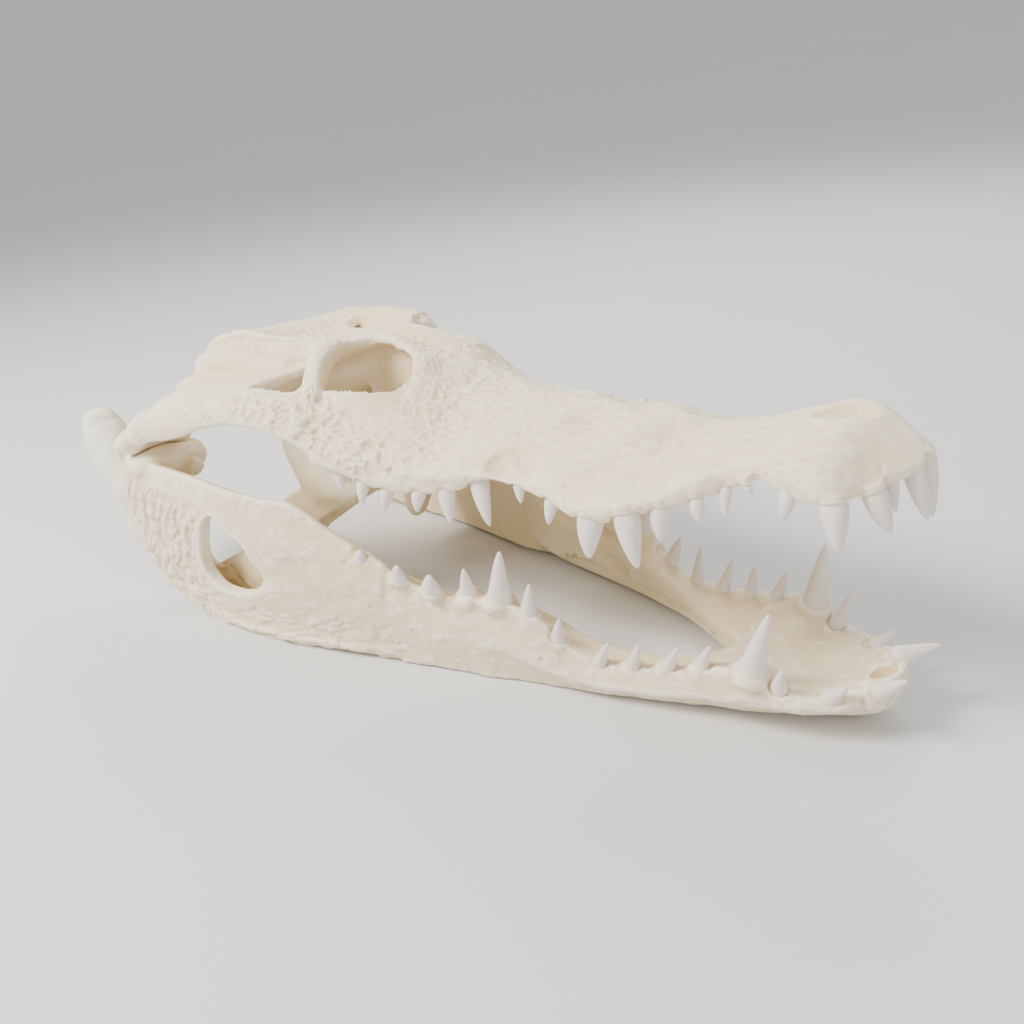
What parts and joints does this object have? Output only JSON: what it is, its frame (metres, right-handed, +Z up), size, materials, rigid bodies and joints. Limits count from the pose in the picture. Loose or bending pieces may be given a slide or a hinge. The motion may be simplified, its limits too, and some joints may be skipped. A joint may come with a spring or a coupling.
{
  "type": "nile crocodile skull",
  "caption": "Bleached crocodile skull, mouth open: long cranium with orbits, pits and nostrils, deep lower jaw resting on its keels, and separate conical teeth.",
  "frame": {"origin": "middle of the overall length and width, on the surface that the lower jaw rests on", "axes": "+X towards the tip of the snout, +Y towards the animal's left, +Z up"},
  "size_m": [0.561, 0.2204, 0.1825],
  "materials": {
    "bone": "matte bleached bone",
    "tooth": "satin enamel over dentine"
  },
  "bodies": {
    "root": {"cranium": "bone", "lower_jaw": "bone", "tooth_lower_left_d1": "tooth", "tooth_lower_left_d10": "tooth", "tooth_lower_left_d11": "tooth", "tooth_lower_left_d12": "tooth", "tooth_lower_left_d2": "tooth", "tooth_lower_left_d3": "tooth", "tooth_lower_left_d4": "tooth", "tooth_lower_left_d5": "tooth", "tooth_lower_left_d6": "tooth", "tooth_lower_left_d7": "tooth", "tooth_lower_left_d8": "tooth", "tooth_lower_left_d9": "tooth", "tooth_lower_right_d1": "tooth", "tooth_lower_right_d10": "tooth", "tooth_lower_right_d11": "tooth", "tooth_lower_right_d12": "tooth", "tooth_lower_right_d2": "tooth", "tooth_lower_right_d3": "tooth", "tooth_lower_right_d4": "tooth", "tooth_lower_right_d5": "tooth", "tooth_lower_right_d6": "tooth", "tooth_lower_right_d7": "tooth", "tooth_lower_right_d8": "tooth", "tooth_lower_right_d9": "tooth", "tooth_upper_left_m10": "tooth", "tooth_upper_left_m11": "tooth", "tooth_upper_left_m12": "tooth", "tooth_upper_left_m13": "tooth", "tooth_upper_left_m2": "tooth", "tooth_upper_left_m3": "tooth", "tooth_upper_left_m4": "tooth", "tooth_upper_left_m5": "tooth", "tooth_upper_left_m6": "tooth", "tooth_upper_left_m7": "tooth", "tooth_upper_left_m8": "tooth", "tooth_upper_left_m9": "tooth", "tooth_upper_left_p1": "tooth", "tooth_upper_left_p2": "tooth", "tooth_upper_left_p3": "tooth", "tooth_upper_left_p4": "tooth", "tooth_upper_left_p5": "tooth", "tooth_upper_right_m10": "tooth", "tooth_upper_right_m11": "tooth", "tooth_upper_right_m12": "tooth", "tooth_upper_right_m13": "tooth", "tooth_upper_right_m2": "tooth", "tooth_upper_right_m3": "tooth", "tooth_upper_right_m4": "tooth", "tooth_upper_right_m5": "tooth", "tooth_upper_right_m6": "tooth", "tooth_upper_right_m7": "tooth", "tooth_upper_right_m8": "tooth", "tooth_upper_right_m9": "tooth", "tooth_upper_right_p1": "tooth", "tooth_upper_right_p2": "tooth", "tooth_upper_right_p3": "tooth", "tooth_upper_right_p4": "tooth", "tooth_upper_right_p5": "tooth"}
  },
  "joints": []
}
